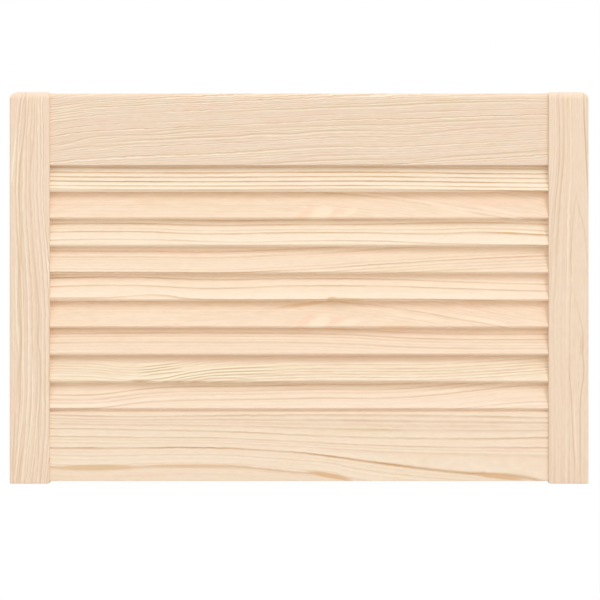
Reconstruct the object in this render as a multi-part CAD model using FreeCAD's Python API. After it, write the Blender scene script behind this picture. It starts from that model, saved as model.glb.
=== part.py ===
# Louvred cabinet door in solid pine: two stiles, two rails, a row of fixed slats let into the stiles,
# and the hidden dowels that hold the frame together.
# Millimetres. X runs along the width, Y through the thickness with the front towards -Y, and Z is up.
# The origin is at the bottom centre, on the surface that the ends of the stiles stand on.

import FreeCAD, Part
import math
import os

from FreeCAD import Vector

# Overall sizes
door_width = 594.0
door_height = 401.7
frame_thickness = 21.0

# Frame boards
stile_width = 41.0
top_rail_height = 74.5
bottom_rail_height = 70.2
top_horn = 1.0  # how far the stiles stand above the top rail
bottom_horn = 2.6  # how far the stiles stand below the bottom rail
rail_setback = 3.5  # how far the rail faces lie behind the stile faces
rail_bevel_degrees = 20.0  # the rails' inner edges rise towards the back at this slope

# Rounded edges
stile_top_radius = 7.0  # along the upper ends of the stiles, front and back
rail_top_radius = 5.0  # along the top of the upper rail, front and back
top_corner_radius = 7.5  # the two upper outer corners, seen from the front
outer_arris_radius = 1.5  # the long outer edges of the stiles
inner_arris_radius = 1.0  # the stile edges beside the rails and slats
rail_arris_radius = 1.0  # the rail edges beside the slats
top_horn_radius = 1.0  # the inner corners of the stiles' upper ends, seen from the front
bottom_horn_radius = 2.0  # the inner corners of the stiles' lower ends, seen from the front
foot_arris_radius = 0.5  # along the bottom of the door

# Slats
slat_count = 9
slat_thickness = 5.0
slat_arris_radius = 1.0  # the four long edges of a slat
slat_degrees = 25.0  # how far each slat leans back from upright
slat_front_inset = 1.3  # how far the slats lie inside the front of the stiles
slat_back_inset = 2.35  # how far the slats lie inside the back of the stiles
slat_rail_gap = 1.9  # clear space between an end slat and the bevelled edge of its rail

# Housings in the stiles, which take the slat ends
housing_depth = 9.0
housing_clearance = 0.15
slat_end_clearance = 0.5

# Dowels, two in each corner joint
dowel_diameter = 8.0
dowel_length = 40.0
dowel_chamfer = 0.8
dowel_edge_distance = 18.0  # from the rail's two long edges to the dowel's axis
dowel_hole_clearance = 0.05  # on the radius
dowel_end_clearance = 1.0  # glue space at each end
flute_count = 12
flute_depth = 0.35
flute_radius = 0.6

# Places and sizes worked out from the values above
half_width = door_width / 2
half_thickness = frame_thickness / 2
half_opening = half_width - stile_width
rail_front = rail_setback - half_thickness
rail_back = half_thickness - rail_setback
rail_rise = (rail_back - rail_front) * math.tan(math.radians(rail_bevel_degrees))
top_rail_top = door_height - top_horn
top_rail_bottom = top_rail_top - top_rail_height
bottom_rail_bottom = bottom_horn
bottom_rail_top = bottom_rail_bottom + bottom_rail_height

slat_lean = math.radians(slat_degrees)
slat_up = Vector(0, math.sin(slat_lean), math.cos(slat_lean))  # from a slat's lower edge to its upper edge
slat_out = Vector(0, -math.cos(slat_lean), math.sin(slat_lean))  # from a slat's back to its face
slat_depth = frame_thickness - slat_front_inset - slat_back_inset
slat_width = (slat_depth - slat_thickness * math.cos(slat_lean)) / math.sin(slat_lean)
slat_middle = (slat_front_inset - slat_back_inset) / 2
housing_length = 2 * (half_opening + housing_depth)
slat_length = housing_length - 2 * slat_end_clearance
dowel_radius = dowel_diameter / 2


def bevel_height(y, front_edge_height):
    """Height of a rail's bevelled inner edge at depth y."""
    return front_edge_height + (y - rail_front) * math.tan(math.radians(rail_bevel_degrees))


def slat_corner(centre_height, end, side, inside):
    """Place inside a corner of a slat's section: end is 1 at its upper edge and side is 1 at its face."""
    centre = Vector(0, slat_middle, centre_height)
    rise = slat_up * (end * (slat_width / 2 - inside))
    return centre + rise + slat_out * (side * (slat_thickness / 2 - inside))


def slat_heights():
    """Centre heights of the slats from the top one down, evenly spread between the two bevelled edges."""
    clear = (slat_arris_radius + slat_rail_gap) / math.cos(math.radians(rail_bevel_degrees))
    top_arc = slat_corner(0, 1, 1, slat_arris_radius)
    bottom_arc = slat_corner(0, -1, -1, slat_arris_radius)
    highest = bevel_height(top_arc.y, top_rail_bottom) - clear - top_arc.z
    lowest = bevel_height(bottom_arc.y, bottom_rail_top) + clear - bottom_arc.z
    spacing = (highest - lowest) / (slat_count - 1)
    return [highest - index * spacing for index in range(slat_count)]


def rounded_outline(corners):
    """Closed wire in the XY plane through corners given as (u, v, radius), each rounded by its radius."""
    points = [Vector(u, v, 0) for u, v, _ in corners]
    starts, ends, edges = [], [], []
    for index, (_, _, radius) in enumerate(corners):
        corner = points[index]
        back = (points[index - 1] - corner).normalize()
        ahead = (points[(index + 1) % len(points)] - corner).normalize()
        half_angle = back.getAngle(ahead) / 2
        run = radius / math.tan(half_angle)
        starts.append(corner + back * run)
        ends.append(corner + ahead * run)
        middle = corner + (back + ahead).normalize() * (radius / math.sin(half_angle) - radius)
        edges.append(Part.Arc(starts[-1], middle, ends[-1]).toShape())
    for index, start in enumerate(starts):
        edges.append(Part.LineSegment(ends[index - 1], start).toShape())
    return Part.Wire(Part.__sortEdges__(edges))


def prism(outline, u_axis, v_axis, start, length):
    """Solid whose section is outline, drawn along the axes u and v, running from start along u x v."""
    along = u_axis.cross(v_axis)
    turn = FreeCAD.Rotation(u_axis, v_axis, along, "XYZ")
    face = Part.Face(outline)
    face.Placement = FreeCAD.Placement(along * start, turn)
    return face.extrude(along * length)


def slat_prism(centre_height, growth, length):
    """Bar along X with the section of a slat, grown on all sides, centred on the door."""
    ends_and_sides = ((-1, 1), (-1, -1), (1, -1), (1, 1))
    corners = [slat_corner(centre_height, end, side, -growth) for end, side in ends_and_sides]
    outline = rounded_outline([(corner.y, corner.z, slat_arris_radius + growth) for corner in corners])
    return prism(outline, Vector(0, 1, 0), Vector(0, 0, 1), -length / 2, length)


def slat(centre_height):
    """One louvre slat, with eased edges and square ends that sit in the stile housings."""
    return slat_prism(centre_height, 0, slat_length)


def housing(centre_height):
    """The space that a slat takes up in both stiles: the slat, grown by its clearances."""
    return slat_prism(centre_height, housing_clearance, housing_length)


def dowel_heights():
    """Dowel heights by rail and place."""
    return {
        ("top", "upper"): top_rail_top - dowel_edge_distance,
        ("top", "lower"): top_rail_bottom + dowel_edge_distance,
        ("bottom", "upper"): bottom_rail_top - dowel_edge_distance,
        ("bottom", "lower"): bottom_rail_bottom + dowel_edge_distance,
    }


def bar_across_joint(radius, length, side, height):
    """Round bar along X at mid thickness, half in a stile and half in a rail."""
    start = Vector(side * half_opening - length / 2, 0, height)
    return Part.makeCylinder(radius, length, start, Vector(1, 0, 0))


def dowel_hole(side, height):
    """The two blind holes of one dowel, as a single bar across the joint."""
    length = dowel_length + 2 * dowel_end_clearance
    return bar_across_joint(dowel_radius + dowel_hole_clearance, length, side, height)


def dowel(side, height):
    """Fluted dowel with chamfered ends."""
    pin = bar_across_joint(dowel_radius, dowel_length, side, height)
    rims = [edge for edge in pin.Edges if isinstance(edge.Curve, Part.Circle)]
    pin = pin.makeChamfer(dowel_chamfer, rims)
    flute_orbit = dowel_radius + flute_radius - flute_depth
    flutes = []
    for index in range(flute_count):
        angle = 2 * math.pi * index / flute_count
        flute = bar_across_joint(flute_radius, dowel_length, side, height)
        flute.translate(Vector(0, flute_orbit * math.cos(angle), flute_orbit * math.sin(angle)))
        flutes.append(flute)
    return pin.cut(flutes)


def stile(side):
    """Upright board with slat housings and dowel holes. Side is -1 on the left and 1 on the right."""
    outer, inner = side * half_width, side * half_opening
    left, right = min(outer, inner), max(outer, inner)
    arris = {outer: outer_arris_radius, inner: inner_arris_radius}
    top_corner = {outer: top_corner_radius, inner: top_horn_radius}
    foot_corner = {outer: foot_arris_radius, inner: bottom_horn_radius}
    x_axis, y_axis, z_axis = Vector(1, 0, 0), Vector(0, 1, 0), Vector(0, 0, 1)
    section = rounded_outline([
        (left, -half_thickness, arris[left]),
        (right, -half_thickness, arris[right]),
        (right, half_thickness, arris[right]),
        (left, half_thickness, arris[left]),
    ])
    side_view = rounded_outline([
        (-half_thickness, 0, foot_arris_radius),
        (half_thickness, 0, foot_arris_radius),
        (half_thickness, door_height, stile_top_radius),
        (-half_thickness, door_height, stile_top_radius),
    ])
    front_view = rounded_outline([
        (0, left, foot_corner[left]),
        (door_height, left, top_corner[left]),
        (door_height, right, top_corner[right]),
        (0, right, foot_corner[right]),
    ])
    board = prism(section, x_axis, y_axis, 0, door_height)
    board = board.common(prism(side_view, y_axis, z_axis, left, right - left))
    board = board.common(prism(front_view, z_axis, x_axis, -half_thickness, frame_thickness))

    cutters = [housing(height) for height in slat_heights()]
    cutters += [dowel_hole(side, height) for height in dowel_heights().values()]
    return board.cut(cutters)


def rail(name, outline):
    """Cross board between the stiles with dowel holes in both ends."""
    board = prism(outline, Vector(0, 1, 0), Vector(0, 0, 1), -half_opening, 2 * half_opening)
    cutters = []
    for (rail_name, _), height in dowel_heights().items():
        if rail_name == name:
            cutters += [dowel_hole(side, height) for side in (-1, 1)]
    return board.cut(cutters)


def top_rail():
    """Upper cross board, rounded along its top, with its lower edge bevelled up towards the back."""
    return rail("top", rounded_outline([
        (rail_front, top_rail_bottom, rail_arris_radius),
        (rail_back, top_rail_bottom + rail_rise, rail_arris_radius),
        (rail_back, top_rail_top, rail_top_radius),
        (rail_front, top_rail_top, rail_top_radius),
    ]))


def bottom_rail():
    """Lower cross board with its upper edge bevelled up towards the back, which shuts out the light."""
    return rail("bottom", rounded_outline([
        (rail_front, bottom_rail_bottom, foot_arris_radius),
        (rail_back, bottom_rail_bottom, foot_arris_radius),
        (rail_back, bottom_rail_top + rail_rise, rail_arris_radius),
        (rail_front, bottom_rail_top, rail_arris_radius),
    ]))


def export(name, shape):
    """Write one piece, which has to be a single closed solid, to its own file."""
    solids = shape.Solids
    if len(solids) != 1 or not solids[0].isValid():
        raise ValueError(f"{name} is {len(solids)} solids, or isn't valid")
    solids[0].exportStep(f"parts/{name}.step")


def main():
    """Make every piece and write it to its file."""
    os.makedirs("parts", exist_ok=True)
    sides = {"left": -1, "right": 1}
    for side_name, side in sides.items():
        export(f"{side_name}_stile", stile(side))
    export("top_rail", top_rail())
    export("bottom_rail", bottom_rail())
    for number, height in enumerate(slat_heights(), start=1):
        export(f"louvre_slat_{number}", slat(height))
    for (rail_name, place), height in dowel_heights().items():
        for side_name, side in sides.items():
            export(f"dowel_{rail_name}_{side_name}_{place}", dowel(side, height))


main()
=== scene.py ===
"""Louvred cabinet door in pine: the finishes of its boards, slats and dowels, and the studio round it.

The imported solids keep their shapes. Each board gets its own pine, cut from one imagined tree: growth rings
round a heart that lies beside the board, bent along guide lines that follow the board's own grain.
Lengths on the door are in millimetres, and those of the studio are in metres.
"""

import logging
import math
from dataclasses import dataclass
from enum import Enum
from typing import Any, Iterator, Union

import bpy
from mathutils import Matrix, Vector

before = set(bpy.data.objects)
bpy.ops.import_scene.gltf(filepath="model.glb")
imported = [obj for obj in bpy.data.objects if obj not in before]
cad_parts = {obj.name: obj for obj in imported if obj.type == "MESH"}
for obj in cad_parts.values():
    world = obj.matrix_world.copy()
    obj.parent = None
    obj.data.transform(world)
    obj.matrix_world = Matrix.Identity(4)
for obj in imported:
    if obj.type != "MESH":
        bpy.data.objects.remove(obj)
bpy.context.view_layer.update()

LOG = logging.getLogger("louvred_door")
MM = 0.001

RGBA = tuple[float, float, float, float]
Triple = tuple[float, float, float]
Pair = tuple[float, float]
Step = Pair
Route = tuple[Pair, ...]
Key = int | str
Number = Union["Wire", float]

WHITE: RGBA = (1.0, 1.0, 1.0, 1.0)
# How far apart two boards lie in the noise when their seeds differ by one.
SEED_STEP: Triple = (731.7, 157.3, 419.9)
RING_SEED_STEP = 9.7
# The farthest station and the greatest height on a course along a board.
COURSE_REACH = 300.0
COURSE_SWING = 60.0


@dataclass(frozen=True)
class Tint:
    """A colour as it looks in a picture, each part from 0 to 255."""

    red: float
    green: float
    blue: float

    def linear(self) -> RGBA:
        """Converts the colour for a shader socket, by the sRGB curve.

        Returns:
            The colour in linear light, with full cover.
        """
        parts = (self.red / 255, self.green / 255, self.blue / 255)
        light = [p / 12.92 if p <= 0.04045 else ((p + 0.055) / 1.055) ** 2.4 for p in parts]
        return (light[0], light[1], light[2], 1.0)


class GrainWay(Enum):
    """The way that a board's grain runs on the door."""

    ACROSS = "across"
    UPRIGHT = "upright"


@dataclass(frozen=True)
class Spots:
    """The size of a noise's spots: their length along the grain, their width, and how many finer layers."""

    length: float
    width: float
    detail: float = 1.0

    def size(self, way: GrainWay) -> Triple:
        """Gives the spots' size in each direction, for grain that runs this way."""
        size = (self.length, self.width, self.width)
        return size if way is GrainWay.ACROSS else size[::-1]


class Wire:
    """An output of a node that takes part in Python expressions."""

    def __init__(self, sheet: "Sheet", node: bpy.types.Node, output: Key) -> None:
        """Keeps the output.

        Args:
            sheet: The tree that the node is in.
            node: The node.
            output: The name or number of its output.
        """
        self.sheet = sheet
        self.node = node
        self.output = output

    @property
    def socket(self) -> bpy.types.NodeSocket:
        """The output socket itself."""
        return self.node.outputs[self.output]

    def __add__(self, other: Number) -> "Wire":
        """Gives this plus other."""
        return self.sheet.math("ADD", self, other)

    def __radd__(self, other: Number) -> "Wire":
        """Gives other plus this."""
        return self.sheet.math("ADD", other, self)

    def __sub__(self, other: Number) -> "Wire":
        """Gives this minus other."""
        return self.sheet.math("SUBTRACT", self, other)

    def __rsub__(self, other: Number) -> "Wire":
        """Gives other minus this."""
        return self.sheet.math("SUBTRACT", other, self)

    def __mul__(self, other: Number) -> "Wire":
        """Gives this times other."""
        return self.sheet.math("MULTIPLY", self, other)

    def __rmul__(self, other: Number) -> "Wire":
        """Gives other times this."""
        return self.sheet.math("MULTIPLY", other, self)

    def __truediv__(self, other: Number) -> "Wire":
        """Gives this divided by other."""
        return self.sheet.math("DIVIDE", self, other)

    def __rtruediv__(self, other: Number) -> "Wire":
        """Gives other divided by this."""
        return self.sheet.math("DIVIDE", other, self)


class Sheet:
    """A node tree that is filled from Python expressions."""

    def __init__(self, tree: bpy.types.NodeTree) -> None:
        """Takes a tree and empties it."""
        self.tree = tree
        tree.nodes.clear()

    def add(self, kind: str, settings: dict[str, Any], inputs: dict[Key, Any], output: Key = 0) -> Wire:
        """Adds one node.

        Args:
            kind: The node's type, without the words it starts with.
            settings: Its own settings, set before its sockets. Stops are a ramp's, and points a curve's.
            inputs: A number, colour, vector or wire for each socket, by the socket's name or number.
            output: The output that the wire stands for.

        Returns:
            A wire from that output.
        """
        node = self.tree.nodes.new("ShaderNode" + kind)
        for name, setting in settings.items():
            if name == "stops":
                self._set_stops(node.color_ramp, setting)
            elif name == "points":
                self._set_points(node.mapping, setting)
            else:
                setattr(node, name, setting)
        for key, value in inputs.items():
            if isinstance(value, Wire):
                self.tree.links.new(value.socket, node.inputs[key])
            else:
                node.inputs[key].default_value = value
        return Wire(self, node, output)

    @staticmethod
    def _set_stops(ramp: bpy.types.ColorRamp, stops: list[tuple[float, RGBA]]) -> None:
        """Sets up a colour ramp.

        Args:
            ramp: The ramp, as it is when it is new.
            stops: Its places and colours, in rising order.
        """
        ramp.elements.remove(ramp.elements[1])
        ramp.elements[0].position = stops[0][0]
        ramp.elements[0].color = stops[0][1]
        for position, colour in stops[1:]:
            ramp.elements.new(position).color = colour

    @staticmethod
    def _set_points(mapping: bpy.types.CurveMapping, points: list[Pair]) -> None:
        """Sets up a curve.

        Args:
            mapping: The curve's mapping, as it is when it is new.
            points: Its points, in rising order.
        """
        curve = mapping.curves[0]
        curve.points[0].location = points[0]
        curve.points[1].location = points[-1]
        for point in points[1:-1]:
            curve.points.new(*point)
        mapping.update()

    def math(self, operation: str, *values: Number) -> Wire:
        """Adds a Math node for values."""
        return self.add("Math", {"operation": operation}, dict(enumerate(values)))

    def vector(self, operation: str, *values: Any) -> Wire:
        """Adds a Vector Math node for vectors."""
        return self.add("VectorMath", {"operation": operation}, dict(enumerate(values)))

    def mix(self, share: Number, first: Any, second: Any, blend: str = "MIX") -> Wire:
        """Adds a Mix node for colours.

        Args:
            share: How much of the second colour shows.
            first: A colour or its wire.
            second: A colour or its wire.
            blend: The way the two are mixed.

        Returns:
            The mixed colour.
        """
        # A Mix node's sockets for colours are inputs 6 and 7 and output 2.
        settings = {"data_type": "RGBA", "blend_type": blend}
        return self.add("Mix", settings, {0: share, 6: first, 7: second}, 2)

    def ease(self, value: Wire, low: Number, high: Number) -> Wire:
        """Gives 0 below low and 1 above high, with a soft step between them."""
        inputs = {"Value": value, "From Min": low, "From Max": high}
        return self.add("MapRange", {"interpolation_type": "SMOOTHSTEP"}, inputs)

    def noise(self, place: Wire, spots: Spots, way: GrainWay = GrainWay.ACROSS) -> Wire:
        """Adds smooth noise about zero.

        Args:
            place: Where it is read, in millimetres.
            spots: The size of its spots.
            way: The way that they are stretched.

        Returns:
            A value that mostly lies between -0.5 and 0.5.
        """
        where = self.vector("DIVIDE", place, spots.size(way))
        inputs = {"Vector": where, "Scale": 1.0, "Detail": spots.detail, "Roughness": 0.5}
        return self.add("TexNoise", {"noise_dimensions": "3D"}, inputs) - 0.5

    def bump(self, height: Wire, strength: float, depth: float) -> Wire:
        """Adds a relief.

        Args:
            height: The relief's height.
            strength: How strongly it shows.
            depth: How deep it is, in millimetres.

        Returns:
            The surface's direction with the relief.
        """
        inputs = {"Strength": strength, "Distance": depth * MM, "Height": height}
        return self.add("Bump", {}, inputs, "Normal")

    def give(self, shader: Wire, material: bpy.types.Material, *names: str) -> None:
        """Finishes a material and gives it to pieces of the door.

        Args:
            shader: The shader at the end of the material's tree.
            material: The material.
            names: The pieces' nodes.
        """
        self.add("OutputMaterial", {}, {"Surface": shader})
        for name in names:
            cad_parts[name].material_slots[0].material = material
            LOG.info("dressed %s", name)


@dataclass(frozen=True)
class Guide:
    """One flow line of a board's grain.

    Heights are across the board from its origin. The sway is a list of (station, rise): stations are
    along the board from its origin, and a rise is how far the line stands above its height there.
    """

    height: float
    sway: Route


@dataclass(frozen=True)
class Latewood:
    """One dark line of latewood on the board's face.

    The height is where its guide's rise is zero. Depth is how dark it is, from 0 to 1, fade is how wide its
    soft side is, and gleam is how pale its other side is.
    """

    height: float
    depth: float
    fade: float = 1.6
    gleam: float = 0.6


@dataclass(frozen=True)
class Stain:
    """A long soft patch of another colour on a board, such as a branch's trace and a resin streak, and also
    painted shade on the strip of a slat that lies in shadow.

    The station and height are its middle, slope is how much it rises along the board, and share is how much
    of its tint shows.
    """

    station: float
    height: float
    half_length: float
    half_width: float
    slope: float
    tint: Tint
    share: float


@dataclass(frozen=True)
class Streak:
    """A thin line of another colour that wanders along a board by itself.

    The route is a list of (station, height) with rising stations, and share is how much of its tint shows.
    """

    route: Route
    half_width: float
    tint: Tint
    share: float


Lines = tuple[Latewood, ...]
Stains = tuple[Stain, ...]
Streaks = tuple[Streak, ...]


@dataclass(frozen=True)
class Figure:
    """How the grain of one board looks.

    The heart is the tree's middle, as a height across the board and a depth behind the board's middle.
    Rings are the ordinary growth rings: their pitch, and how strongly they show. Ripple is how far the
    lines wander by themselves, mottle is how strongly short streaks break them up, and the seed gives the
    board a place of its own in the noise.
    """

    body: Tint
    guides: tuple[Guide, ...]
    lines: Lines
    heart: Pair
    ring_pitch: float
    ring_depth: float
    ripple: float
    seed: int
    stains: Stains = ()
    streaks: Streaks = ()
    mottle: float = 0.12


@dataclass(frozen=True)
class Board:
    """One board or slat: its node, its own origin on the door, its lean, its grain and its section.

    The origin is at mid length and mid thickness. Low and high are the board's two edges across the grain,
    measured from the origin.
    """

    node: str
    origin: Triple
    lean_degrees: float
    way: GrainWay
    low: float
    high: float
    half_thickness: float
    figure: Figure


@dataclass(frozen=True)
class Pine:
    """Planed pine with no coating.

    Tones run from 0, pale, to 1, dark, and plain wood is at body_level. A step is the two values between
    which something sets in.
    """

    pale: Tint = Tint(255, 243, 222)
    latewood: Tint = Tint(206, 163, 116)
    rosy: Tint = Tint(255, 250, 250)
    straw: Tint = Tint(253, 252, 247)
    end_shade: Tint = Tint(236, 222, 205)
    body_level: float = 0.3
    # Latewood lines: their sharp side, the end of their pale side, the least gap, and the ramp's margin.
    line_edge: float = 0.7
    line_reach: float = 3.0
    line_gap: float = 0.1
    ramp_margin: float = 20.0
    # Noise that makes the grain wander, its lines stand out, and its colour vary.
    long_sway: Spots = Spots(150.0, 30.0)
    long_sway_share: float = 2.0
    short_sway: Spots = Spots(38.0, 9.0)
    jitter: float = 1.9
    jitter_spots: Spots = Spots(9.0, 4.0)
    lively: float = 1.8
    lively_spots: Spots = Spots(60.0, 5.0)
    mottle_spots: Spots = Spots(24.0, 3.5, 2.0)
    patches: Spots = Spots(90.0, 11.0, 2.0)
    patch_reach: float = 0.3
    fibres: Spots = Spots(9.0, 1.5)
    fibre_shade: float = 0.12
    # Ordinary rings: how their pitch drifts, the shape of one ring, and how their strength varies.
    ring_drift: float = 0.6
    ring_drift_length: float = 2.3
    ring_edge: Step = (0.78, 1.0)
    ring_peak: float = 2.0
    ring_mean: float = 0.4
    ring_least: float = 0.2
    ring_spread: float = 1.9
    # Soft edges of stains, and soft ends of streaks as a share of their length.
    stain_edge: Step = (0.15, 1.0)
    streak_fade: float = 0.25
    # Roundings and ends, by how squarely they face along the grain or upwards. Calming the lines on the
    # roundings is painted highlight: light from above washes them out there.
    rounding_calm: float = 0.65
    rounded_ends: Step = (0.1, 0.45)
    sawn_ends: Step = (0.9, 0.98)
    rounded_top: Step = (0.55, 0.85)
    level_top: Step = (0.95, 0.99)
    # The surface.
    relief: float = 0.35
    relief_depth: float = 0.1
    line_relief: float = 0.5
    roughness: float = 0.62
    line_polish: float = 0.1
    specular: float = 0.25

    def dress(self, board: Board) -> None:
        """Gives a board its own pine.

        Args:
            board: The board, whose node gets the material.
        """
        material = bpy.data.materials.new("pine_" + board.node)
        material.use_nodes = True
        sheet = Sheet(material.node_tree)
        grain = Grain(self, sheet, board)
        late = grain.tone()
        fibre = grain.fibre()
        shader = sheet.add(
            "BsdfPrincipled",
            {},
            {
                "Base Color": grain.colour(late, fibre),
                "Roughness": self.roughness - late * self.line_polish + fibre * self.fibre_shade,
                "Specular IOR Level": self.specular,
                "Normal": sheet.bump(late * self.line_relief + fibre, self.relief, self.relief_depth),
            },
        )
        sheet.give(shader, material, board.node)


class Grain:
    """The grain of one board, drawn on the sheet of the board's own material."""

    def __init__(self, pine: Pine, sheet: Sheet, board: Board) -> None:
        """Finds the places on a board and in its grain.

        Args:
            pine: The wood.
            sheet: The tree that is filled.
            board: The board.
        """
        self.pine = pine
        self.sheet = sheet
        self.board = board
        self.figure = board.figure
        place = sheet.add(
            "Mapping",
            {"vector_type": "TEXTURE"},
            {
                "Vector": sheet.add("TexCoord", {}, {}, "Object"),
                "Location": [length * MM for length in board.origin],
                "Rotation": (-math.radians(board.lean_degrees), 0.0, 0.0),
                "Scale": (MM, MM, MM),
            },
        )
        split = sheet.add("SeparateXYZ", {}, {"Vector": place})
        east, self.through, up = (Wire(sheet, split.node, axis) for axis in "XYZ")
        self.along, across = (east, up) if board.way is GrainWay.ACROSS else (up, east)

        # The grain wanders by itself, and its guides bend it.
        self.place = self._shift(place)
        wander = sheet.noise(self.place, pine.long_sway, board.way) * pine.long_sway_share
        wander = wander + sheet.noise(self.place, pine.short_sway, board.way)
        self.across = across + wander * self.figure.ripple
        jitter = sheet.noise(self.place, pine.jitter_spots, board.way)
        self.height = self._unbend(self.across + jitter * (pine.jitter * self.figure.ripple))
        inside = sheet.add("CombineXYZ", {}, {"X": self.along, "Y": self.height, "Z": self.through})
        self.inside = self._shift(inside)
        self.normal = sheet.add("TexCoord", {}, {}, "Normal")
        self.facing = self._end_facing()

    def tone(self) -> Wire:
        """Draws all the lines and rings.

        Returns:
            The wood's tone.
        """
        pine = self.pine
        up = self.height - self.figure.heart[0]
        back = self.through - self.figure.heart[1]
        radius = self.sheet.math("SQRT", up * up + back * back)
        lines = self._latewood_lines(radius) - pine.body_level + self._ordinary_rings(radius)
        # The lines are calmed on the roundings as painted highlight, where light from above washes them out.
        lines = lines * (1.0 - self._calmed_roundings() * pine.rounding_calm)
        lively = 1.0 + self.sheet.noise(self.inside, pine.lively_spots) * pine.lively
        mottle = self.sheet.noise(self.inside, pine.mottle_spots) * self.figure.mottle
        return lines * lively + mottle + pine.body_level

    def fibre(self) -> Wire:
        """Gives the fine fibres, as a value about zero."""
        return self.sheet.noise(self.inside, self.pine.fibres)

    def colour(self, late: Wire, fibre: Wire) -> Wire:
        """Colours the wood.

        Args:
            late: Its tone.
            fibre: Its fibres.

        Returns:
            Its colour, with warmer and yellower patches, stains, streaks, fibres and darker sawn ends.
        """
        sheet, pine = self.sheet, self.pine
        stops = [
            (0.0, pine.pale.linear()),
            (pine.body_level, self.figure.body.linear()),
            (1.0, pine.latewood.linear()),
        ]
        colour = sheet.add("ValToRGB", {"stops": stops}, {"Fac": late})
        patch = sheet.noise(self.place, pine.patches, self.board.way)
        for reach, tint in ((pine.patch_reach, pine.rosy), (-pine.patch_reach, pine.straw)):
            colour = sheet.mix(sheet.ease(patch, 0.0, reach), colour, tint.linear(), "MULTIPLY")
        colour = self._streaked(self._stained(colour))
        shade = 1.0 + fibre * pine.fibre_shade
        grey = sheet.add("CombineColor", {}, {"Red": shade, "Green": shade, "Blue": shade})
        colour = sheet.mix(1.0, colour, grey, "MULTIPLY")
        sawn = sheet.mix(1.0, colour, pine.end_shade.linear(), "MULTIPLY")
        return sheet.mix(sheet.ease(self.facing, *pine.sawn_ends), colour, sawn)

    def _shift(self, place: Wire) -> Wire:
        """Moves a place to the board's own part of the noise."""
        return self.sheet.vector("ADD", place, [step * self.figure.seed for step in SEED_STEP])

    def _course(self, points: Route) -> Wire:
        """Runs a smooth course through points.

        Args:
            points: Stations and heights, with rising stations.

        Returns:
            The course's height at each station.
        """
        span, swing = 2 * COURSE_REACH, 2 * COURSE_SWING
        scaled = [((station + COURSE_REACH) / span, 0.5 + height / swing) for station, height in points]
        value = (self.along + COURSE_REACH) / span
        curve = self.sheet.add("FloatCurve", {"points": scaled}, {"Value": value})
        return (curve - 0.5) * swing

    def _unbend(self, across: Wire) -> Wire:
        """Straightens the grain along its guides.

        Args:
            across: The height across the board.

        Returns:
            The height that the grain here has where the guides' rise is zero.
        """
        guides = self.figure.guides
        rises = [self._course(guide.sway) for guide in guides]
        height = self.sheet.math("MINIMUM", across - rises[0], guides[0].height)
        for index in range(1, len(guides)):
            low, high = guides[index - 1], guides[index]
            height = height + self.sheet.add(
                "MapRange",
                {},
                {
                    "Value": across,
                    "From Min": rises[index - 1] + low.height,
                    "From Max": rises[index] + high.height,
                    "To Min": 0.0,
                    "To Max": high.height - low.height,
                },
            )
        return height + self.sheet.math("MAXIMUM", across - rises[-1] - guides[-1].height, 0.0)

    def _latewood_lines(self, radius: Wire) -> Wire:
        """Draws the board's own latewood lines.

        Args:
            radius: The distance from the tree's heart.

        Returns:
            Their tone.
        """
        pine, board = self.pine, self.board
        heart_height, heart_depth = self.figure.heart
        face = -board.half_thickness - heart_depth
        spread = board.high - board.low
        edges = (board.low - spread / 2, (board.low + board.high) / 2, board.high + spread / 2)
        sides = [math.hypot(edge - heart_height, depth - heart_depth)
                 for edge in edges for depth in (-board.half_thickness, board.half_thickness)]
        low, high = min(sides) - pine.ramp_margin, max(sides) + pine.ramp_margin
        lines = sorted((math.hypot(line.height - heart_height, face), line) for line in self.figure.lines)
        stops = [(low, pine.body_level)]
        for place, line in lines:
            start = max(place - line.fade, stops[-1][0] + pine.line_gap)
            stops.append((start, pine.body_level))
            stops.append((place, pine.body_level + line.depth))
            stops.append((place + pine.line_edge, pine.body_level * max(0.0, 1 - line.gleam * line.depth)))
        stops.append((stops[-1][0] + pine.line_reach, pine.body_level))
        scaled = [((place - low) / (high - low), (tone, tone, tone, 1.0)) for place, tone in stops]
        return self.sheet.add("ValToRGB", {"stops": scaled}, {"Fac": (radius - low) / (high - low)})

    def _ordinary_rings(self, radius: Wire) -> Wire:
        """Draws the ordinary growth rings, uneven in pitch and strength.

        Args:
            radius: The distance from the tree's heart.

        Returns:
            The tone that they add.
        """
        sheet, pine, figure = self.sheet, self.pine, self.figure
        drift_place = radius / (figure.ring_pitch * pine.ring_drift_length) + figure.seed * RING_SEED_STEP
        drift_inputs = {"W": drift_place, "Scale": 1.0, "Detail": 0.0}
        drift = sheet.add("TexNoise", {"noise_dimensions": "1D"}, drift_inputs)
        count = radius / figure.ring_pitch + drift * pine.ring_drift
        whole = sheet.math("FLOOR", count)
        part = count - whole
        chance = sheet.add("TexWhiteNoise", {"noise_dimensions": "1D"}, {"W": whole + figure.seed})
        pulse = part * part * (1.0 - sheet.ease(part, *pine.ring_edge)) * pine.ring_peak
        strength = pine.ring_least + chance * chance * pine.ring_spread
        return (pulse - pine.ring_mean) * strength * figure.ring_depth

    def _stained(self, colour: Wire) -> Wire:
        """Lays the board's stains over a colour.

        Args:
            colour: The colour so far.

        Returns:
            The colour with the stains, the last on top.
        """
        for stain in self.figure.stains:
            run = self.along - stain.station
            rise = self.across - stain.height - run * stain.slope
            away = run * run / stain.half_length ** 2 + rise * rise / stain.half_width ** 2
            share = (1.0 - self.sheet.ease(away, *self.pine.stain_edge)) * stain.share
            colour = self.sheet.mix(share, colour, stain.tint.linear())
        return colour

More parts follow.
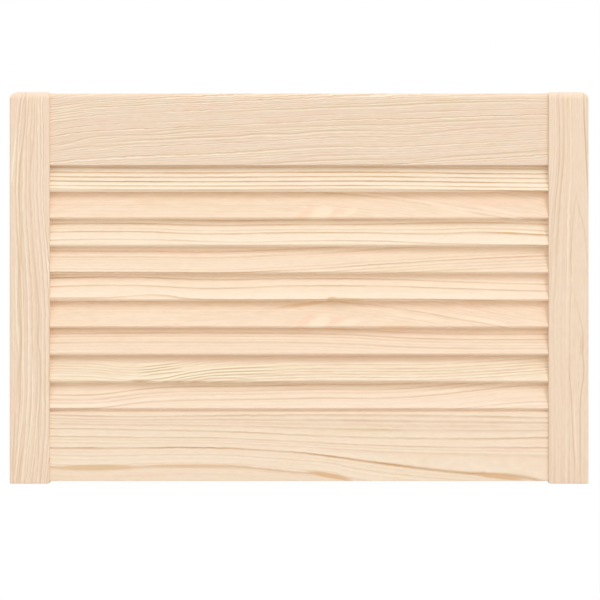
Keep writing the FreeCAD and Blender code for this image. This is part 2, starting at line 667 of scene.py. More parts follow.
    def _streaked(self, colour: Wire) -> Wire:
        """Draws the board's streaks over a colour, each fading out at both ends.

        Args:
            colour: The colour so far.

        Returns:
            The colour with the streaks, the last on top.
        """
        ease = self.sheet.ease
        for streak in self.figure.streaks:
            aside = self.sheet.math("ABSOLUTE", self.across - self._course(streak.route))
            start, end = streak.route[0][0], streak.route[-1][0]
            fade = (end - start) * self.pine.streak_fade
            share = (1.0 - ease(aside, 0.0, streak.half_width)) * streak.share
            share = share * ease(self.along, start - fade, start + fade)
            share = share * (1.0 - ease(self.along, end - fade, end + fade))
            colour = self.sheet.mix(share, colour, streak.tint.linear())
        return colour

    def _end_facing(self) -> Wire:
        """Compares the surface's direction with the grain's.

        Returns:
            How squarely the surface faces along the grain, from 0 to 1.
        """
        axis = (1.0, 0.0, 0.0) if self.board.way is GrainWay.ACROSS else (0.0, 0.0, 1.0)
        facing = self.sheet.vector("DOT_PRODUCT", self.normal, axis)
        return self.sheet.math("ABSOLUTE", Wire(self.sheet, facing.node, "Value"))

    def _calmed_roundings(self) -> Wire:
        """Finds the roundings beside a sawn end and along a top edge, where the lines are calmed as painted
        highlight.

        Returns:
            1 on a rounding, and 0 elsewhere.
        """
        pine, ease = self.pine, self.sheet.ease
        ends = ease(self.facing, *pine.rounded_ends) * (1.0 - ease(self.facing, *pine.sawn_ends))
        up = self.sheet.add("SeparateXYZ", {}, {"Vector": self.normal}, "Z")
        crown = ease(up, *pine.rounded_top) * (1.0 - ease(up, *pine.level_top))
        return self.sheet.math("MAXIMUM", ends, crown)


@dataclass(frozen=True)
class Beech:
    """Turned beech, as dowels are made of."""

    body: Tint = Tint(214, 172, 131)
    fleck: Tint = Tint(172, 124, 86)
    flecks: Spots = Spots(3.0, 0.35)
    fleck_edge: Step = (0.08, 0.22)
    clouds: Spots = Spots(30.0, 3.0, 2.0)
    cloud_edge: Step = (-0.3, 0.3)
    cloud_share: float = 0.25
    relief: float = 0.3
    relief_depth: float = 0.1
    roughness: float = 0.55
    cloud_roughness: float = 0.1

    def dress(self, names: list[str]) -> None:
        """Gives beech to the dowels.

        Args:
            names: The dowels' nodes.
        """
        material = bpy.data.materials.new("beech_dowels")
        material.use_nodes = True
        sheet = Sheet(material.node_tree)
        coordinates = sheet.add("TexCoord", {}, {}, "Object")
        place = sheet.vector("DIVIDE", coordinates, (MM, MM, MM))
        fleck = sheet.ease(sheet.noise(place, self.flecks), *self.fleck_edge)
        cloud = sheet.noise(place, self.clouds)
        colour = sheet.mix(fleck, self.body.linear(), self.fleck.linear())
        cloudy = sheet.ease(cloud, *self.cloud_edge) * self.cloud_share
        colour = sheet.mix(cloudy, colour, self.fleck.linear())
        shader = sheet.add(
            "BsdfPrincipled",
            {},
            {
                "Base Color": colour,
                "Roughness": self.roughness + cloud * self.cloud_roughness,
                "Normal": sheet.bump(cloud - fleck, self.relief, self.relief_depth),
            },
        )
        sheet.give(shader, material, *names)


FRAME_BODY = Tint(242, 218, 193)
STREAK_DARK = Tint(219, 191, 157)
STREAK_PALE = Tint(255, 240, 217)
FLAME_PALE = Tint(255, 247, 219)
SLAT_CREAM = Tint(254, 233, 206)
RIDGE_SPREAD = 1.6
RIDGE_DARK_HALF_WIDTH = 1.2
RIDGE_DARK_SHARE = 1.15
RIDGE_PALE_HALF_WIDTH = 1.1
RIDGE_PALE_SHARE = 0.8


def latewood(*lines: Pair, fade: float = Latewood.fade, gleam: float = Latewood.gleam) -> Lines:
    """Gives several lines of latewood, each with its height and depth."""
    return tuple(Latewood(height, depth, fade, gleam) for height, depth in lines)


def ridge(share: float, *route: Pair, lift: float = -RIDGE_SPREAD, pale: Tint = STREAK_PALE) -> Streaks:
    """Draws a growth ring's edge.

    Args:
        share: How strongly it shows.
        route: Its stations and heights.
        lift: How far its pale side lies above its dark one.
        pale: The colour of its pale side.

    Returns:
        A dark streak along the route, and a pale one beside it.
    """
    beside = tuple((station, height + lift) for station, height in route)
    dark_streak = Streak(route, RIDGE_DARK_HALF_WIDTH, STREAK_DARK, share * RIDGE_DARK_SHARE)
    return dark_streak, Streak(beside, RIDGE_PALE_HALF_WIDTH, pale, share * RIDGE_PALE_SHARE)


def branch_slat(seed: int, heart_depth: float, *stains: Stain) -> Figure:
    """Draws a plain slat whose lines fall away to the right of a branch's trace.

    Args:
        seed: The slat's own place in the noise.
        heart_depth: How far behind the slat the tree's heart is.
        stains: The slat's stains.

    Returns:
        Its figure.
    """
    falling = ((-255, 0.0), (-60, 0.0), (30, -1.0), (100, -9.0), (170, -22.0), (250, -38.0))
    return Figure(
        body=Tint(248, 223, 196),
        guides=(Guide(17.8, falling),),
        lines=latewood((29.6, 0.3)),
        heart=(-80.0, heart_depth), ring_pitch=3.2, ring_depth=0.08, ripple=0.9, mottle=0.3, seed=seed,
        stains=stains,
    )


# Wavy lines, swinging out to the right below the middle.
LEFT_STILE = Figure(
    body=FRAME_BODY,
    guides=(
        Guide(-3.9, ((-194, -7.5), (-126, -2.3), (-65, -0.5), (-3, -0.6), (34, -3.1), (71, -5.4),
                     (132, -5.2), (200, 0.0))),
        Guide(8.7, ((-194, 5.0), (-145, 8.7), (-102, 9.3), (-52, 8.9), (9, 7.5), (40, 5.2), (71, 2.4),
                    (101, 0.7), (132, 0.9), (200, 0.0))),
    ),
    lines=latewood((-7.6, 0.14), (-3.9, 0.14), (3.2, 0.14)),
    heart=(-60.0, 30.0), ring_pitch=2.3, ring_depth=0.27, ripple=1.0, seed=1,
    streaks=(
        Streak(((-115, -10.2), (-95, -11.3), (-80, -10.6), (-60, -9.1), (-48, -8.8), (-30, -10.1),
                (-10, -11.0), (25, -10.2), (60, -8.2)), 2.6, STREAK_DARK, 0.65),
        Streak(((70, -9.2), (90, -10.9), (110, -10.5), (130, -9.2), (150, -6.7), (165, -4.8),
                (195, -4.2)), 1.3, STREAK_DARK, 0.85),
        Streak(((115, -0.9), (135, 2.3), (145, 3.3), (157, 4.7), (185, 5.2)), 1.1, STREAK_DARK, 0.65),
        Streak(((-165, 9.2), (-140, 8.6), (-115, 10.0), (-90, 10.8), (-70, 10.4), (-55, 8.5), (-30, 9.5),
                (-10, 8.8), (15, 6.0)), 1.3, STREAK_DARK, 0.75),
        Streak(((-197, -11.0), (-180, -9.1), (-165, -6.8)), 1.1, STREAK_DARK, 0.7),
        Streak(((-197, -17.3), (-180, -17.0), (-160, -16.0), (-135, -15.0)), 1.3, STREAK_DARK, 0.7),
        Streak(((112, -18.0), (130, -16.7), (140, -15.6), (155, -14.0)), 1.1, STREAK_PALE, 0.95),
        Streak(((95, -13.5), (110, -12.8), (130, -11.4), (150, -8.0)), 1.1, STREAK_PALE, 0.7),
        Streak(((-62, -11.5), (-40, -12.6), (-10, -13.4), (30, -14.2)), 1.0, STREAK_PALE, 0.7),
        Streak(((-175, -12.5), (-150, -9.4), (-125, -7.3), (-100, -6.2), (-70, -6.5), (-50, -6.5),
                (-25, -5.5)), 1.0, STREAK_PALE, 0.8),
        Streak(((-198, -4.1), (-180, -2.7), (-160, -1.0), (-140, 1.4), (-110, 2.4), (-70, 2.2)),
               0.9, STREAK_PALE, 0.8),
        Streak(((-198, 0.4), (-180, 2.8), (-160, 5.1), (-140, 6.7), (-115, 8.2)), 0.9, STREAK_PALE, 0.8),
    ),
)

# Fine lines on the left and a plainer right half, opening downwards.
RIGHT_STILE = Figure(
    body=FRAME_BODY,
    guides=(
        Guide(-5.6, ((-194, -8.3), (-95, -8.5), (-28, -9.5), (15, -7.0), (52, -6.1), (89, -3.5),
                     (126, -0.1), (200, 0.0))),
        Guide(15.3, ((-194, 4.6), (-126, 5.0), (-59, 7.1), (3, 8.0), (49, 6.5), (89, 3.9), (126, 2.2),
                     (163, 0.5), (200, 0.0))),
    ),
    lines=latewood((-10.7, 0.14), (-5.6, 0.16), (-0.7, 0.1)),
    heart=(-70.0, 25.0), ring_pitch=2.3, ring_depth=0.15, ripple=0.8, seed=2,
    stains=(
        Stain(-95.0, -7.0, 120.0, 15.0, 0.0, FRAME_BODY, 0.55),
        Stain(95.0, 8.5, 115.0, 9.0, -0.03, FRAME_BODY, 0.6),
        Stain(-59.0, 12.9, 14.0, 2.2, 0.03, Tint(230, 198, 163), 0.7),
    ),
    streaks=(
        Streak(((105, 19.4), (130, 18.2), (150, 17.3), (165, 16.4), (197, 15.7)),
               1.4, Tint(214, 180, 146), 0.85),
        Streak(((70, -14.7), (90, -13.1), (110, -10.9), (130, -9.6), (150, -9.2), (190, -10.0)),
               1.1, STREAK_DARK, 0.65),
        Streak(((32, -11.3), (60, -10.6), (80, -9.2), (100, -8.0), (120, -6.0), (140, -4.7), (190, -5.5)),
               1.1, STREAK_DARK, 0.65),
        Streak(((25, 2.0), (40, 2.8), (60, 4.1), (80, 5.4), (93, 7.6)), 1.6, STREAK_DARK, 0.4),
        Streak(((25, 19.0), (40, 17.8), (60, 15.6), (75, 12.2), (93, 8.2)), 1.6, STREAK_DARK, 0.4),
        Streak(((-197, 11.8), (-150, 11.8), (-120, 12.0), (-108, 12.8), (-92, 15.2), (-80, 15.5),
                (-70, 14.6), (-50, 14.6), (-40, 13.7), (-28, 11.2)), 1.2, STREAK_DARK, 0.8),
        Streak(((-199, 5.7), (-185, 6.2), (-165, 5.4), (-140, 4.1), (-120, 3.3), (-105, 2.4), (-90, 0.9),
                (-70, 0.4)), 1.0, STREAK_DARK, 0.75),
        Streak(((-180, 8.2), (-150, 7.0), (-115, 6.0)), 1.2, STREAK_PALE, 0.5),
    ),
)

# Many fine lines, steep at the left end and rising gently to the right.
TOP_RAIL = Figure(
    body=Tint(239, 215, 190),
    guides=(
        Guide(-43.9, ((-255, 0.0), (-153, 5.1), (-51, 9.2), (-2, 12.0), (47, 13.9), (96, 14.1),
                      (146, 17.4), (195, 19.7), (250, 23.1))),
        Guide(-18.2, ((-255, 0.0), (-220, 5.1), (-181, 7.4), (-125, 9.3), (-70, 12.3), (-8, 15.4),
                      (35, 17.9), (78, 18.8), (121, 18.3), (175, 21.0), (250, 23.6))),
        Guide(7.4, ((-255, 0.0), (-212, 5.1), (-138, 9.2), (-58, 12.5), (16, 15.5), (96, 18.6),
                    (170, 21.8), (250, 22.6))),
    ),
    lines=latewood((-43.9, 0.08), (-10.4, 0.06)),
    heart=(-110.0, 40.0), ring_pitch=1.9, ring_depth=0.34, ripple=1.0, mottle=0.18, seed=3,
    stains=tuple(
        Stain(-240.0, height, 22.0, 1.1, 0.14, tint, 0.6)
        for tint, heights in (
            (Tint(226, 199, 169), (25.0, 21.9, 17.3, 14.7, 11.7, 8.6)),
            (Tint(252, 234, 209), (23.4, 20.4, 16.0, 13.2, 10.2)),
        )
        for height in heights
    ),
    streaks=(
        *ridge(0.8, (-182, -12.1), (-160, -11.0), (-140, -10.4), (-120, -9.4), (-100, -8.3), (-80, -7.5),
               (-60, -6.6), (-46, -5.1), (-25, -4.6), (-5, -4.0), (18, -1.9), (40, -1.0), (60, -0.8),
               (90, -1.1)),
        *ridge(0.7, (-185, -6.1), (-160, -5.8), (-145, -5.3), (-130, -3.9), (-112, -2.4), (-75, -0.3)),
        *ridge(0.55, (-150, -2.2), (-130, -0.4), (-112, 0.7), (-95, 1.4), (-70, 2.2)),
        *ridge(0.6, (-45, 0.6), (-25, 1.8), (-5, 2.6), (15, 3.5), (40, 4.1), (60, 4.8), (95, 5.0),
               (105, 5.4), (120, 6.5), (140, 8.3), (160, 9.3), (180, 9.8), (200, 10.5), (235, 11.2)),
        *ridge(0.75, (-55, 19.3), (-30, 20.5), (-10, 21.2), (10, 22.0), (30, 23.0), (50, 23.7),
               (90, 24.6), (110, 25.6), (130, 27.0), (150, 28.0), (175, 28.7), (250, 29.0)),
        *ridge(0.55, (100, -5.0), (120, -4.3), (135, -3.0), (150, -1.2), (165, 0.2), (175, 1.6),
               (210, 3.2), (240, 4.8), (255, 5.3)),
        *ridge(0.6, (125, -31.5), (150, -28.0), (170, -26.5), (200, -25.2), (230, -23.8), (255, -22.5)),
        *ridge(0.6, (-45, -34.5), (-20, -33.7), (0, -32.5), (20, -31.4), (45, -30.5), (80, -29.8)),
        *ridge(0.45, (-5, -28.7), (20, -26.7), (45, -26.0), (80, -25.0)),
        *ridge(0.45, (-40, -21.0), (-20, -19.5), (0, -18.1), (25, -17.3), (60, -16.5)),
        *ridge(0.55, (-253, -15.8), (-244, -15.0), (-235, -13.4), (-225, -10.6), (-214, -8.4),
               (-203, -7.0), (-190, -6.2)),
        *ridge(0.45, (-242, -20.7), (-225, -18.0), (-213, -16.0)),
        *ridge(0.45, (-216, -18.0), (-195, -17.2), (-180, -15.5), (-160, -14.0)),
        *ridge(0.4, (110, 18.2), (140, 19.5), (165, 20.4)),
    ),
)

# Wide rings, cut near the heart, whose lines run out at the lower edge on the right.
BOTTOM_RAIL = Figure(
    body=Tint(249, 228, 203),
    guides=(
        Guide(-20.6, ((-255, 0.0), (-205, -2.1), (-156, 0.6), (-101, 1.4), (-51, -0.5), (-2, -5.6),
                      (34, -8.2), (51, -13.9), (104, -22.1), (175, -26.2), (250, -30.3))),
        Guide(-0.6, ((-255, 0.0), (-175, -0.2), (-88, -0.2), (-37, -2.7), (-2, -5.1), (34, -9.5),
                     (78, -15.5), (117, -20.5), (164, -25.7), (226, -30.2), (250, -35.9))),
        Guide(4.5, ((-255, 0.0), (-175, -0.5), (-88, -0.6), (-2, -4.2), (78, -8.9), (164, -11.2),
                    (250, -13.1))),
        Guide(19.0, ((-255, 0.0), (-175, -1.1), (-88, -2.8), (-2, -6.6), (78, -9.3), (164, -10.3),
                     (250, -9.2))),
        Guide(32.6, ((-255, 0.0), (-175, -1.4), (-88, -0.6), (-2, 0.4), (78, 0.4), (164, -0.7),
                     (250, -2.5))),
    ),
    lines=(
        Latewood(-20.6, 0.4, 2.0),
        Latewood(-0.6, 0.44, 1.8),
        Latewood(4.5, 0.28, 0.5),
        *latewood((10.8, 0.28), (19.0, 0.35), (23.9, 0.3), (26.9, 0.24), (28.9, 0.24), (32.6, 0.36)),
    ),
    heart=(-40.0, 16.0), ring_pitch=3.4, ring_depth=0.12, ripple=0.6, seed=4,
    stains=(
        Stain(31.0, -29.6, 28.0, 3.4, -0.17, Tint(230, 191, 150), 1.0),
        Stain(206.0, -30.7, 32.0, 3.0, -0.1, Tint(229, 190, 150), 1.0),
        Stain(-208.0, -21.0, 52.0, 3.7, 0.0, Tint(231, 198, 157), 0.95),
        Stain(-106.0, -19.7, 64.0, 2.5, 0.0, Tint(232, 200, 160), 0.85),
    ),
)

# The slats from the top one down.
SLATS = (
    # Strong, straight lines.
    Figure(
        body=Tint(250, 233, 208),
        guides=(Guide(11.1, ((-255, 0.0), (-175, -0.7), (-88, -0.9), (-2, -0.3), (78, -0.1), (164, -1.3),
                             (250, -2.3))),),
        # The top line, at 26.9, lies in the top rail's shadow; its depth is partly painted shade that
        # darkens that strip, as well as a real line of latewood.
        lines=latewood((26.9, 0.33), (21.1, 0.62), (16.0, 0.65), (10.9, 0.75), (5.9, 0.65), (1.8, 0.36)),
        heart=(-60.8, 20.0), ring_pitch=4.6, ring_depth=0.12, ripple=0.4, seed=5,
    ),
    # A branch's trace near the middle.
    branch_slat(
        6, 34.0,
        Stain(7.0, 6.3, 11.0, 6.5, 0.7, Tint(250, 214, 186), 0.7),
        Stain(38.0, 7.2, 11.0, 5.5, 0.65, Tint(250, 216, 189), 0.65),
        Stain(24.0, 5.6, 15.0, 9.0, 0.35, Tint(255, 237, 210), 0.55),
        Stain(53.0, 7.0, 9.0, 5.0, 0.4, Tint(255, 232, 204), 0.6),
        Stain(155.0, 10.0, 32.0, 2.6, -0.25, SLAT_CREAM, 0.7),
        Stain(200.0, 9.0, 34.0, 2.6, -0.22, SLAT_CREAM, 0.7),
        Stain(205.0, 18.0, 50.0, 4.5, -0.02, Tint(250, 217, 190), 0.6),
    ),
    # Pale, with a few wavy lines and a resin spot at the right end.
    Figure(
        body=Tint(250, 232, 207),
        guides=(
            Guide(5.5, ((-255, 0.0), (-193, 0.9), (-125, -0.3), (-58, -2.2), (4, -0.6), (72, -0.9),
                        (139, -3.7), (250, -6.3))),
            Guide(14.7, ((-255, 0.0), (-175, 0.7), (-88, -2.0), (-2, -0.3), (78, -0.9), (123, -2.0),
                         (154, -1.4), (180, -0.2), (205, -0.8), (250, -3.3))),
            Guide(23.8, ((-255, 0.0), (-175, 0.9), (-88, -1.3), (-2, -0.3), (78, 0.0), (164, 2.0),
                         (250, -0.3))),
        ),
        lines=(Latewood(29.1, 0.38), Latewood(23.8, 0.4), Latewood(18.1, 0.2, 1.2), Latewood(14.7, 0.46),
               Latewood(5.5, 0.32)),
        heart=(-41.2, 25.0), ring_pitch=4.0, ring_depth=0.08, ripple=0.5, seed=7,
        stains=(
            Stain(160.0, 13.4, 50.0, 3.0, 0.01, Tint(250, 230, 204), 0.45),
            Stain(226.0, 14.7, 26.0, 1.5, -0.055, Tint(255, 245, 218), 0.8),
            Stain(218.0, 13.1, 16.0, 1.6, -0.055, Tint(226, 187, 137), 0.8),
        ),
    ),
    # Lines that rise to the right.
    Figure(
        body=Tint(248, 225, 199),
        guides=(Guide(17.1, ((-255, 0.0), (-162, -0.2), (-76, -0.7), (-21, 1.7), (29, 4.4), (72, 8.1),
                             (127, 12.0), (160, 14.2), (196, 16.0), (250, 18.3))),),
        lines=latewood((23.7, 0.4), (17.1, 0.26), (3.8, 0.12), (0.1, 0.26), (-3.6, 0.22), (-7.4, 0.22),
                       (-11.1, 0.2)),
        heart=(-51.0, 25.0), ring_pitch=3.3, ring_depth=0.16, ripple=0.6, seed=8,
    ),
    # Pale, with three wavy lines.
    Figure(
        body=Tint(251, 230, 205),
        guides=(
            Guide(1.6, ((-255, 0.0), (-194, 0.9), (-163, 3.3), (-144, 3.6), (-112, -0.7), (-40, -2.3),
                        (104, -1.2), (250, -5.8))),
            Guide(15.2, ((-255, -0.8), (-175, 0.6), (-88, -2.9), (-2, 0.2), (78, 0.0), (164, -3.0),
                         (250, -5.6))),
            Guide(24.4, ((-255, 0.0), (-175, 0.8), (-88, -2.2), (-2, -0.9), (78, -1.3), (164, -4.6),
                         (250, -7.1))),
        ),
        lines=latewood((24.4, 0.44), (15.2, 0.36), (1.6, 0.42)),
        heart=(-31.4, 25.0), ring_pitch=4.0, ring_depth=0.07, ripple=0.5, seed=9,
        stains=(
            Stain(33.0, 1.0, 6.0, 2.2, 0.12, Tint(224, 190, 150), 0.85),
            Stain(48.0, 0.4, 22.0, 2.0, -0.02, Tint(228, 196, 158), 0.8),
        ),
    ),
    # Another branch's trace.
    branch_slat(
        10, 36.0,
        Stain(6.0, 6.9, 12.0, 6.0, 0.7, Tint(251, 214, 184), 0.7),
        Stain(36.0, 5.8, 10.0, 5.5, 0.7, Tint(251, 213, 184), 0.7),
        Stain(21.0, 5.0, 14.0, 9.5, 0.35, Tint(255, 238, 212), 0.55),
        Stain(54.0, 6.0, 13.0, 5.0, 0.2, Tint(255, 233, 205), 0.6),
        Stain(120.0, 11.0, 40.0, 2.6, -0.12, SLAT_CREAM, 0.7),
        Stain(185.0, 8.0, 36.0, 2.6, -0.2, SLAT_CREAM, 0.7),
        Stain(100.0, 0.6, 22.0, 1.6, 0.02, Tint(249, 212, 178), 0.8),
        Stain(-160.0, 12.0, 60.0, 3.5, 0.02, Tint(254, 233, 208), 0.6),
        Stain(2.0, 24.5, 34.0, 2.6, 0.14, Tint(238, 200, 160), 0.8),
    ),
    # Fine lines, nearly straight.
    Figure(
        body=Tint(247, 223, 197),
        guides=(Guide(12.9, ((-255, 0.0), (-162, 1.0), (-70, 0.8), (16, 0.2), (59, -1.3), (109, -4.5),
                             (152, -5.9), (250, -6.2))),),
        lines=latewood((28.6, 0.4), (22.6, 0.35), (12.9, 0.25)),
        heart=(-70.7, 20.0), ring_pitch=3.5, ring_depth=0.2, ripple=0.4, seed=11,
    ),
    # Fine lines that flame up left of the middle.
    Figure(
        body=Tint(246, 227, 200),
        guides=(Guide(5.2, ((-255, 0.0), (-213, -0.8), (-170, -4.7), (-143, -3.5), (-117, 2.3),
                            (-86, 7.5), (-45, 10.4), (16, 12.7), (133, 13.1), (189, 16.1), (250, 20.7))),),
        lines=latewood((20.3, 0.16), (17.2, 0.16), (14.3, 0.16), (10.3, 0.18), (5.8, 0.22), (1.6, 0.26),
                       (-1.6, 0.28), (-4.8, 0.28), (-8.2, 0.28), (-12.0, 0.26), fade=1.4, gleam=1.8),
        heart=(-70.7, 20.0), ring_pitch=2.7, ring_depth=0.16, ripple=0.4, mottle=0.3, seed=12,
        stains=(
            Stain(-128.0, 9.0, 60.0, 9.0, 0.08, Tint(255, 243, 214), 0.3),
            Stain(-163.0, 0.9, 14.0, 1.3, 0.0, Tint(214, 184, 140), 0.8),
            # The wide stain on the top strip is partly painted shade: that strip lies in the shadow of the
            # slat above, and the stain darkens it and makes it pinker, over wood that is pinker there too.
            Stain(0.0, 27.0, 330.0, 8.0, 0.0, Tint(243, 217, 193), 0.7),
        ),
        streaks=tuple(
            streak
            for share, route in (
                (1.15, ((-155, 1.5), (-145, 2.5), (-138, 3.5), (-130, 5.2), (-122, 7.0), (-115, 8.5),
                        (-108, 9.8), (-100, 11.0), (-90, 12.3), (-80, 13.2), (-55, 14.6), (-30, 15.4))),
                (1.15, ((-135, 0.5), (-128, 2.0), (-120, 4.0), (-112, 5.5), (-105, 6.7), (-97, 8.0),
                        (-90, 9.0), (-80, 9.8), (-55, 10.8), (-30, 11.4))),
                (1.15, ((-125, 0.3), (-117, 1.8), (-110, 3.0), (-102, 4.3), (-92, 5.5), (-75, 6.6),
                        (-55, 7.3), (-30, 7.8))),
                (0.9, ((-108, 0.3), (-100, 1.5), (-92, 2.7), (-80, 3.1), (-55, 2.8))),
                (1.0, ((-158, 6.0), (-150, 7.5), (-143, 8.2), (-135, 9.0), (-120, 10.6))),
                (1.1, ((-162, 9.7), (-152, 10.5), (-145, 11.5), (-138, 12.5), (-125, 14.8))),
                (1.0, ((-162, 12.8), (-153, 13.3), (-147, 14.2), (-140, 15.2), (-130, 16.7))),
                (0.9, ((-160, 16.0), (-150, 17.0), (-143, 17.8), (-135, 19.0), (-126, 20.4))),
            )
            for streak in ridge(share, *route, lift=RIDGE_SPREAD, pale=FLAME_PALE)
        ),
    ),
    # Lines that climb all the way.
    Figure(
        body=Tint(249, 227, 203),
        guides=(Guide(9.8, ((-255, 0.0), (-209, 0.2), (-181, 3.6), (-163, 6.1), (-118, 8.9), (-58, 9.6),
                            (16, 11.2), (93, 11.6), (134, 14.4), (179, 19.7), (226, 25.0), (254, 26.1))),),
        lines=latewood((9.8, 0.3), (15.3, 0.24), (0.1, 0.3)),
        heart=(-70.7, 20.0), ring_pitch=4.6, ring_depth=0.2, ripple=0.4, seed=13,
    ),
)


@dataclass
class DoorFrame:
    """The two stiles and two rails."""

    height: float = 401.7
    opening: float = 512.0
    stile_width: float = 41.0
    stile_thickness: float = 21.0
    rail_thickness: float = 14.0
    top_rail_middle: float = 363.45
    top_rail_height: float = 74.5
    bottom_rail_middle: float = 37.7
    bottom_rail_height: float = 70.2

    def boards(self) -> Iterator[Board]:
        """Gives the boards, each with its own figure.

        Returns:
            The stiles and then the rails.
        """
        stile_place = (self.opening + self.stile_width) / 2
        stile = (self.height / 2, GrainWay.UPRIGHT, self.stile_width, self.stile_thickness)
        top = (self.top_rail_middle, GrainWay.ACROSS, self.top_rail_height, self.rail_thickness)
        bottom = (self.bottom_rail_middle, GrainWay.ACROSS, self.bottom_rail_height, self.rail_thickness)
        for node, east, (up, way, width, thickness), figure in (
            ("left_stile", -stile_place, stile, LEFT_STILE),
            ("right_stile", stile_place, stile, RIGHT_STILE),
            ("top_rail", 0.0, top, TOP_RAIL),
            ("bottom_rail", 0.0, bottom, BOTTOM_RAIL),
        ):
            yield Board(
                node=node,
                origin=(east, 0.0, up),
                lean_degrees=0.0,
                way=way,
                low=-width / 2,
                high=width / 2,
                half_thickness=thickness / 2,
                figure=figure,
            )

    def dress(self, pine: Pine) -> None:
        """Gives the boards their pine."""
        for board in self.boards():
            pine.dress(board)


@dataclass
class LouvreSlats:
    """The row of leaning slats, each measured up its face from its lower edge."""

    top_foot: float = 299.938
    foot_depth: float = -6.934
    spacing: float = 27.9564
    lean_degrees: float = 25.0
    width: float = 30.33
    thickness: float = 5.0

    def boards(self) -> Iterator[Board]:
        """Gives the slats, each with its own figure.

        Returns:
            The slats from the top one down.
        """
        for index, figure in enumerate(SLATS):
            yield Board(
                node=f"louvre_slat_{index + 1}",
                origin=(0.0, self.foot_depth, self.top_foot - index * self.spacing),
                lean_degrees=self.lean_degrees,
                way=GrainWay.ACROSS,
                low=0.0,
                high=self.width,
                half_thickness=self.thickness / 2,
                figure=figure,
            )

    def dress(self, pine: Pine) -> None:
        """Gives the slats their pine."""
        for board in self.boards():
            pine.dress(board)


@dataclass
class CornerDowels:
    """The fluted dowels hidden in the corner joints."""

    rails: tuple[str, ...] = ("top", "bottom")
    sides: tuple[str, ...] = ("left", "right")
    places: tuple[str, ...] = ("upper", "lower")

    def dress(self, beech: Beech) -> None:
        """Gives the dowels their beech."""
        beech.dress([
            f"dowel_{rail}_{side}_{place}"
            for rail in self.rails
            for side in self.sides
            for place in self.places
        ])


@dataclass(frozen=True)
class Sun:
    """A broad, distant lamp: its name, the way to it, its strength, and how broad it looks."""

    name: str
    towards: Triple
    strength: float
    degrees: float


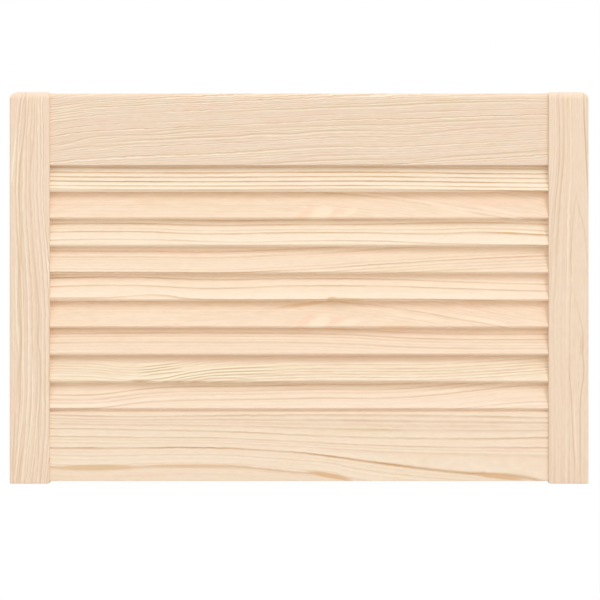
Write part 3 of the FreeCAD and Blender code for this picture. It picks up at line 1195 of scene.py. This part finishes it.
@dataclass
class Studio:
    """A white studio: floor, soft lamps, surroundings and camera."""

    floor_size: float = 14.0
    floor_tint: Tint = Tint(214, 214, 214)
    floor_white: float = 0.92
    floor_glow: float = 1.025
    ambient: float = 0.59
    key_towards: Triple = (0.3137, -0.7129, 0.6273)
    key_distance: float = 24.0
    key_width: float = 3.8
    key_height: float = 9.4
    key_power: float = 930.0
    suns: tuple[Sun, ...] = (
        Sun("fill_light", (0.05, -0.95, 0.2), 0.99, 90.0),
        Sun("top_light", (0.0, -0.05, 1.0), 0.35, 20.0),
        Sun("back_light", (0.0, 0.6, 0.8), 0.8, 90.0),
    )
    sun_distance: float = 3.0
    camera_place: Triple = (0.00092, -5.0105, 0.1884)
    lens: float = 292.4
    sensor: float = 36.0

    def build(self) -> None:
        """Makes the whole studio."""
        self._floor()
        self._surroundings()
        self._panel()
        for sun in self.suns:
            self._hang(sun)
        self._camera()
        bpy.context.scene.view_settings.view_transform = "Standard"

    @staticmethod
    def _seen_directly(sheet: Sheet) -> Wire:
        """Tells what is seen from what is lit.

        Args:
            sheet: The tree that is filled.

        Returns:
            1 for rays from the camera, or by way of a mirror or glass, and 0 for the light itself.
        """
        path = sheet.add("LightPath", {}, {}, "Is Camera Ray")
        glossy = Wire(sheet, path.node, "Is Glossy Ray")
        through = Wire(sheet, path.node, "Is Transmission Ray")
        return sheet.math("MAXIMUM", path, sheet.math("MAXIMUM", glossy, through))

    def _floor(self) -> None:
        """Lays a pale floor that is seen as white and keeps the door's shadow."""
        bpy.ops.object.select_all(action="DESELECT")
        bpy.ops.mesh.primitive_plane_add(size=self.floor_size)
        floor = bpy.context.object
        floor.name = "studio_floor"
        material = bpy.data.materials.new("studio_floor")
        material.use_nodes = True
        sheet = Sheet(material.node_tree)
        paper = sheet.add("BsdfDiffuse", {}, {"Color": self.floor_tint.linear()})
        light = sheet.add("Emission", {}, {"Color": WHITE, "Strength": self.floor_glow})
        share = self._seen_directly(sheet) * self.floor_white
        both = sheet.add("MixShader", {}, {0: share, 1: paper, 2: light})
        sheet.add("OutputMaterial", {}, {"Surface": both})
        floor.data.materials.append(material)
        LOG.info("laid the floor")

    def _surroundings(self) -> None:
        """Surrounds the door with even light that is seen as white."""
        world = bpy.data.worlds.new("studio")
        world.use_nodes = True
        bpy.context.scene.world = world
        sheet = Sheet(world.node_tree)
        seen = self._seen_directly(sheet)
        strength = seen + (1.0 - seen) * self.ambient
        air = sheet.add("Background", {}, {"Color": WHITE, "Strength": strength})
        sheet.add("OutputWorld", {}, {"Surface": air})
        LOG.info("lit the surroundings")

    def _panel(self) -> None:
        """Stands a tall lit panel far off to the right, in front of the door."""
        towards = Vector(self.key_towards)
        bpy.ops.object.light_add(type="AREA", location=towards * self.key_distance)
        lamp = bpy.context.object
        lamp.name = "key_light"
        lamp.rotation_euler = towards.to_track_quat("Z", "Y").to_euler()
        lamp.data.shape = "RECTANGLE"
        lamp.data.size = self.key_width
        lamp.data.size_y = self.key_height
        lamp.data.energy = self.key_power
        LOG.info("hung %s", lamp.name)

    def _hang(self, sun: Sun) -> None:
        """Hangs one broad lamp.

        Args:
            sun: The lamp.
        """
        towards = Vector(sun.towards)
        bpy.ops.object.light_add(type="SUN", location=towards * self.sun_distance)
        lamp = bpy.context.object
        lamp.name = sun.name
        lamp.rotation_euler = towards.to_track_quat("Z", "Y").to_euler()
        lamp.data.energy = sun.strength
        lamp.data.angle = math.radians(sun.degrees)
        LOG.info("hung %s", lamp.name)

    def _camera(self) -> None:
        """Sets the camera straight in front of the door."""
        bpy.ops.object.camera_add(location=self.camera_place, rotation=(math.pi / 2, 0.0, 0.0))
        camera = bpy.context.object
        camera.name = "front_camera"
        camera.data.sensor_width = self.sensor
        camera.data.lens = self.lens
        bpy.context.scene.camera = camera
        LOG.info("set the camera")


def main() -> None:
    """Dresses the door and sets up the studio."""
    logging.basicConfig(level=logging.INFO)
    pine = Pine()
    DoorFrame().dress(pine)
    LouvreSlats().dress(pine)
    CornerDowels().dress(Beech())
    Studio().build()


if __name__ == "__main__":
    main()
